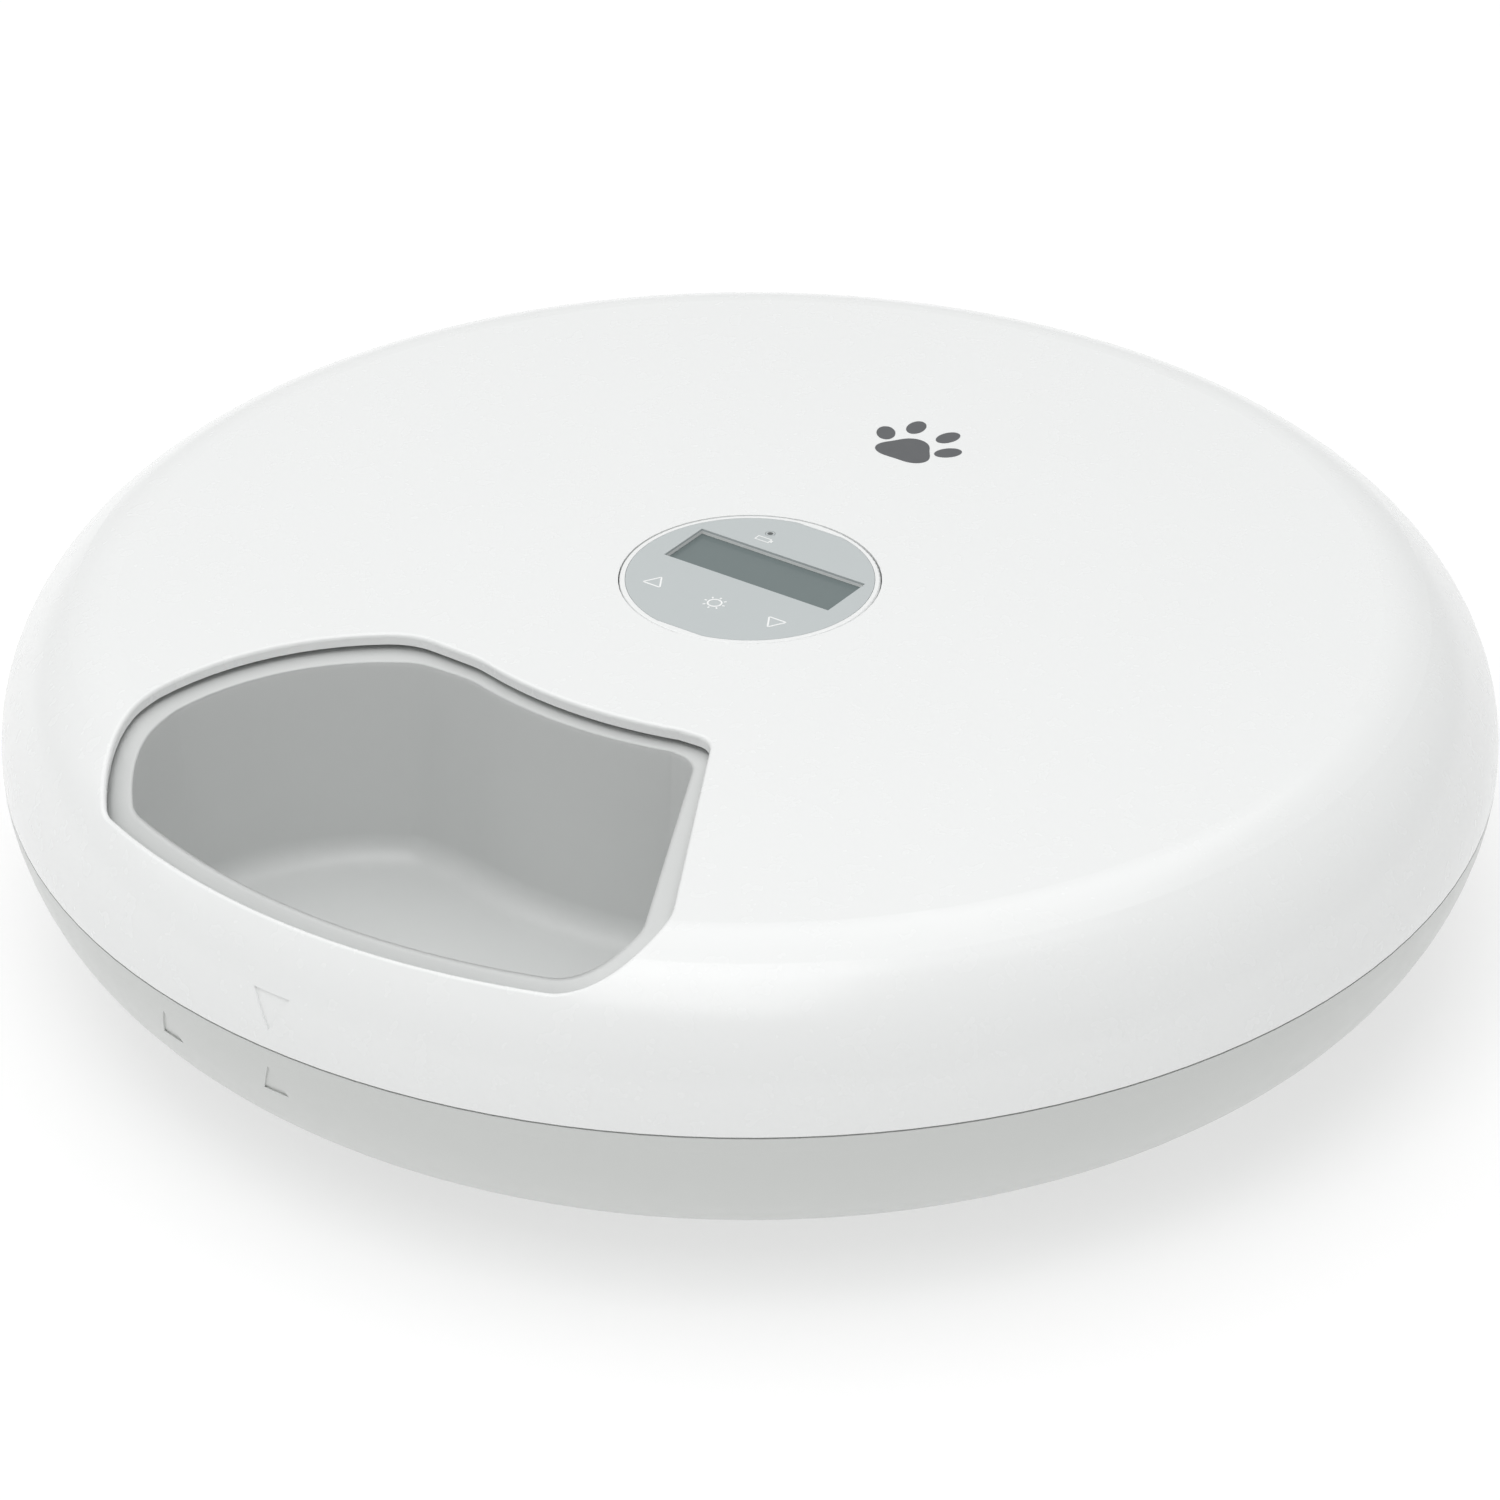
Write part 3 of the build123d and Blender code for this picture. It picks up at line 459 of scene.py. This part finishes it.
NODE_FINISHES: dict[str, AnyFinish] = {
    "lid": WHITE,
    "column_cover": WHITE,
    # The base shell and the battery door take the darker copy of the lid's white, with painted shade for
    # their underside.
    "base_shell": WHITE_WITH_PAINTED_SHADE,
    "battery_door": WHITE_WITH_PAINTED_SHADE,
    "food_tray": TRAY_GREY,
    "panel_overlay": FILM_GREY,
    "lcd_window": DISPLAY_GLASS,
    "lcd_module": DISPLAY_GREY,
    "status_lamp": LAMP_LENS,
    "lid_seal": SEAL_SILICONE,
    "rubber_feet": FOOT_RUBBER,
    "turntable": ACETAL,
    "glide_pads": ACETAL,
    "drive_gear": ACETAL,
    "compound_gear": ACETAL,
    "motor_pinion": ACETAL,
    "gear_plate": SLATE,
    "up_key": SLATE,
    "set_key": SLATE,
    "down_key": SLATE,
    "position_switch": COAL,
    "key_switches": COAL,
    "sounder": COAL,
    "main_board": BOARD_GREEN,
    "gear_axles": STEEL,
    "motor_shaft": STEEL,
    "plate_screws": STEEL,
    "cover_screws": STEEL,
    "board_screws": STEEL,
    "gear_motor": MOTOR_STEEL,
    "contact_plates": NICKEL,
    "contact_springs": NICKEL,
    "battery_cells": CELL_SLEEVE,
}


@dataclass
class Workshop:
    """Builds each finish once and hands it out."""

    made: dict[str, bpy.types.Material] = field(default_factory=dict)

    def get(self, finish: AnyFinish) -> bpy.types.Material:
        """Return the material of a finish, built on first use."""
        if finish.name not in self.made:
            self.made[finish.name] = finish.build()
        return self.made[finish.name]

    def dress_nodes(self) -> None:
        """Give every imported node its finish."""
        for node, finish in NODE_FINISHES.items():
            dress_node(node, self.get(finish))


@dataclass
class LidPrint:
    """The plain paw print on the lid, behind the panel."""

    workshop: Workshop
    centre: tuple[float, float] = (-5.6 * MM, 67.5 * MM)
    pad_radius: float = 5.6 * MM
    pad_lobe: float = 0.13
    pad_stretch: tuple[float, float] = (1.12, 0.94)
    inner_rings: tuple[float, float] = (0.3, 0.25)
    toe_lean: float = 0.6
    toe_radius: float = 2.75 * MM
    toe_stretch: tuple[float, float] = (0.76, 1.15)
    outer_toe: tuple[float, float] = (62.0, 9.3 * MM)
    inner_toe: tuple[float, float] = (22.0, 11.2 * MM)
    ink_thickness: float = 0.04 * MM

    def build(self) -> bpy.types.Object:
        """Model the paw print lying on the lid.

        Returns:
            The print, riding on the lid.
        """
        blots = [self._pad()]
        for angle, reach in (self.outer_toe, self.inner_toe):
            for side in (-1, 1):
                turn = side * math.radians(angle)
                place = Vector(self.centre) + Vector((math.sin(turn), math.cos(turn))) * reach
                blots.append(self._toe(place, -turn * self.toe_lean))
        paw = join(blots, "paw_print")
        self._lay_on_lid(paw)
        dress(paw, self.workshop.get(PAW_PRINT))
        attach(paw, "lid_cover")
        log.info("built %s", paw.name)
        return paw

    def _pad(self) -> bpy.types.Object:
        """Model the print's large pad, a disc drawn out into three soft lobes.

        Returns:
            The flat pad.
        """
        pad = self._disc(Vector(self.centre), self.pad_radius, 72)
        for vertex in pad.data.vertices:
            reach = Vector((vertex.co.x - self.centre[0], vertex.co.y - self.centre[1]))
            swell = 1.0 + self.pad_lobe * math.cos(3 * (math.atan2(reach.y, reach.x) - math.pi / 2))
            vertex.co.x = self.centre[0] + reach.x * swell * self.pad_stretch[0]
            vertex.co.y = self.centre[1] + reach.y * swell * self.pad_stretch[1]
        return pad

    def _toe(self, centre: Vector, turn: float) -> bpy.types.Object:
        """Model one oval toe.

        Args:
            centre: Its plan centre.
            turn: Its turn about Z, in radians.

        Returns:
            The flat toe.
        """
        toe = self._disc(Vector((0.0, 0.0)), self.toe_radius, 40)
        toe.scale = (*self.toe_stretch, 1.0)
        toe.rotation_euler.z = turn
        toe.location = (centre.x, centre.y, 0.0)
        return settle(toe, "toe")

    def _disc(self, centre: Vector, radius: float, sides: int) -> bpy.types.Object:
        """Model a flat disc with rings inside it, so that it can follow the lid.

        Args:
            centre: Its plan centre.
            radius: Its radius.
            sides: How many sides its rim has.

        Returns:
            The disc, its place already in its mesh.
        """
        deselect()
        bpy.ops.mesh.primitive_circle_add(
            vertices=sides, radius=radius, fill_type="NGON", location=(centre.x, centre.y, 0.0)
        )
        disc = bpy.context.object
        bpy.ops.object.transform_apply(location=True, rotation=True, scale=True)
        edit(disc, *(partial(bpy.ops.mesh.inset, thickness=radius * ring) for ring in self.inner_rings))
        return disc

    def _lay_on_lid(self, paw: bpy.types.Object) -> None:
        """Drop the flat print onto the lid's crown and give it the ink's thickness."""
        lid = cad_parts["lid"]
        for vertex in paw.data.vertices:
            start = Vector((vertex.co.x, vertex.co.y, 0.2))
            hit, place, _normal, _index = lid.ray_cast(start, Vector((0, 0, -1)))
            if hit:
                vertex.co.z = place.z
        apply_modifier(paw, "SOLIDIFY", thickness=self.ink_thickness, offset=1.0)


@dataclass
class ControlPanel:
    """Printed symbols of the control panel, over the keys and beside the lamp."""

    workshop: Workshop
    ink_thickness: float = 0.05 * MM
    line: float = 0.38 * MM
    triangle_radius: float = 2.9 * MM
    triangle_corner: float = 0.7 * MM
    sun_radius: float = 1.3 * MM
    ray_count: int = 8
    ray_reach: tuple[float, float] = (1.95 * MM, 2.6 * MM)
    cell_place: tuple[float, float] = (-7.5 * MM, 15.7 * MM)
    cell_size: tuple[float, float] = (3.6 * MM, 1.7 * MM)
    cell_line: float = 0.2356 * MM
    nub_size: tuple[float, float] = (0.45 * MM, 0.8 * MM)
    nub_gap: float = 0.3 * MM

    def build(self) -> list[bpy.types.Object]:
        """Model the printed symbols.

        Returns:
            The prints, riding on the housing.
        """
        prints = [
            self._print(self._triangle("up_key", 0.0), "up_symbol"),
            self._print(self._sun("set_key"), "set_symbol"),
            self._print(self._triangle("down_key", math.pi), "down_symbol"),
            self._print(self._cell(), "battery_symbol"),
        ]
        return prints

    def _place(self, node: str) -> tuple[float, float]:
        """Return the plan centre of a key."""
        low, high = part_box(node)
        return ((low.x + high.x) / 2, (low.y + high.y) / 2)

    def _film_top(self) -> float:
        """Return the height of the film's face."""
        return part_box("panel_overlay")[1].z

    def _outline(self, piece: bpy.types.Object, corner: float) -> bpy.types.Object:
        """Round a filled outline's corners and leave only a line round its edge.

        Args:
            piece: A flat filled face.
            corner: The corner radius, or 0 to leave it as it is.

        Returns:
            The same object, now a closed flat line.
        """
        if corner:
            edit(piece, lambda: bpy.ops.mesh.bevel(offset=corner, segments=6, affect="VERTICES"))
        edit(
            piece,
            lambda: bpy.ops.mesh.inset(thickness=self.line),
            lambda: bpy.ops.mesh.delete(type="FACE"),
        )
        return piece

    def _triangle(self, node: str, turn: float) -> list[bpy.types.Object]:
        """Model a rounded triangle's outline over a key, its apex towards +Y when turn is 0."""
        x, y = self._place(node)
        deselect()
        bpy.ops.mesh.primitive_circle_add(
            vertices=3, radius=self.triangle_radius, fill_type="NGON",
            location=(x, y, 0), rotation=(0, 0, turn),
        )
        return [self._outline(bpy.context.object, self.triangle_corner)]

    def _sun(self, node: str) -> list[bpy.types.Object]:
        """Model a ring with short rays over a key."""
        x, y = self._place(node)
        deselect()
        bpy.ops.mesh.primitive_circle_add(
            vertices=40, radius=self.sun_radius + self.line, fill_type="NGON", location=(x, y, 0)
        )
        shapes = [self._outline(bpy.context.object, 0.0)]
        for step in range(self.ray_count):
            angle = 2 * math.pi * step / self.ray_count
            middle = sum(self.ray_reach) / 2
            deselect()
            bpy.ops.mesh.primitive_plane_add(
                size=1,
                location=(x + middle * math.cos(angle), y + middle * math.sin(angle), 0),
                rotation=(0, 0, angle),
            )
            ray = bpy.context.object
            ray.scale = (self.ray_reach[1] - self.ray_reach[0], self.line, 1)
            bpy.ops.object.transform_apply(location=True, rotation=True, scale=True)
            edit(ray, lambda: bpy.ops.mesh.bevel(offset=self.line / 2.2, segments=4, affect="VERTICES"))
            shapes.append(ray)
        return shapes

    def _cell(self) -> list[bpy.types.Object]:
        """Model the small outline of a cell with its nub, beside the lamp."""
        shapes = []
        nub_place = (self.cell_place[0] + self.cell_size[0] / 2 + self.nub_gap, self.cell_place[1])
        for centre, size, hollow in (
            (self.cell_place, self.cell_size, True),
            (nub_place, self.nub_size, False),
        ):
            deselect()
            bpy.ops.mesh.primitive_plane_add(size=1, location=(*centre, 0))
            shape = bpy.context.object
            shape.scale = (*size, 1)
            bpy.ops.object.transform_apply(location=True, rotation=True, scale=True)
            if hollow:
                edit(
                    shape,
                    lambda: bpy.ops.mesh.inset(thickness=self.cell_line),
                    lambda: bpy.ops.mesh.delete(type="FACE"),
                )
            shapes.append(shape)
        return shapes

    def _print(self, shapes: Sequence[bpy.types.Object], name: str) -> bpy.types.Object:
        """Join flat shapes into one print on the film.

        Args:
            shapes: Flat meshes at height 0.
            name: The print's name.

        Returns:
            The print, riding on the housing.
        """
        symbol = join(shapes, name)
        symbol.location.z = self._film_top()
        settle(symbol, name)
        apply_modifier(symbol, "SOLIDIFY", thickness=self.ink_thickness, offset=1.0)
        dress(symbol, self.workshop.get(ICON_WHITE))
        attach(symbol, "housing")
        log.info("built %s", name)
        return symbol


# ------------------------------------------------------------------ studio
@dataclass
class Studio:
    """Camera, pale floor and soft light."""

    azimuth: float = 35.0
    elevation: float = 30.54
    distance: float = 1.600
    target: tuple[float, float, float] = (0.0, 0.0, 0.040)
    lens: float = 178.5
    sensor: float = 36.0
    floor_size: float = 9.0
    floor_colour: tuple[float, float, float] = (0.50, 0.50, 0.50)
    floor_glow: float = 0.50
    sky_strength: float = 0.55

    def build(self) -> None:
        """Set up camera, floor, world and lamps."""
        self._camera()
        self._floor()
        self._world()
        self._lamp("top_lamp", (-0.25, 0.2, 1.9), 2.4, 18.0)
        self._lamp("front_lamp", (0.35, -0.95, 1.95), 1.3, 11.0)
        self._lamp("side_lamp", (-1.7, -0.6, 1.2), 1.2, 2.5)

    def _camera(self) -> None:
        """Place the camera on its viewing angle."""
        azimuth, elevation = math.radians(self.azimuth), math.radians(self.elevation)
        away = Vector(
            (
                math.cos(elevation) * math.sin(azimuth),
                -math.cos(elevation) * math.cos(azimuth),
                math.sin(elevation),
            )
        )
        eye = Vector(self.target) + away * self.distance
        bpy.ops.object.camera_add(location=eye, rotation=(-away).to_track_quat("-Z", "Y").to_euler())
        camera = bpy.context.object
        camera.name = "studio_camera"
        camera.data.lens = self.lens
        camera.data.sensor_width = self.sensor
        camera.data.clip_end = 30.0
        bpy.context.scene.camera = camera

    def _floor(self) -> None:
        """Lay the pale floor under the feet, a table faintly lit from below."""
        deselect()
        bpy.ops.mesh.primitive_plane_add(size=self.floor_size, location=(0, 0, -0.0002))
        floor = bpy.context.object
        floor.name = "studio_floor"
        material, shader = new_material("studio_floor_white")
        shader.inputs["Base Color"].default_value = (*self.floor_colour, 1.0)
        shader.inputs["Roughness"].default_value = 0.9
        shader.inputs["Emission Color"].default_value = (1.0, 1.0, 1.0, 1.0)
        shader.inputs["Emission Strength"].default_value = self.floor_glow
        dress(floor, material)

    def _world(self) -> None:
        """Light everything softly from all round."""
        world = bpy.data.worlds.new("studio_world")
        world.use_nodes = True
        background = world.node_tree.nodes["Background"]
        background.inputs["Color"].default_value = (1.0, 1.0, 1.0, 1.0)
        background.inputs["Strength"].default_value = self.sky_strength
        bpy.context.scene.world = world

    def _lamp(self, name: str, place: tuple[float, float, float], size: float, power: float) -> None:
        """Hang one soft square lamp that points at the object.

        Args:
            name: The lamp's name.
            place: Where it hangs.
            size: Its side.
            power: Its power in watts.
        """
        aim = (Vector(self.target) - Vector(place)).to_track_quat("-Z", "Y").to_euler()
        bpy.ops.object.light_add(type="AREA", location=place, rotation=aim)
        lamp = bpy.context.object
        lamp.name = name
        lamp.data.size = size
        lamp.data.energy = power


def main() -> None:
    """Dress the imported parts, build the printed pieces and set up the studio."""
    logging.basicConfig(level=logging.INFO)
    workshop = Workshop()
    workshop.dress_nodes()
    LidPrint(workshop).build()
    ControlPanel(workshop).build()
    Studio().build()
    bpy.context.scene.view_settings.view_transform = "Standard"


if __name__ == "__main__":
    main()
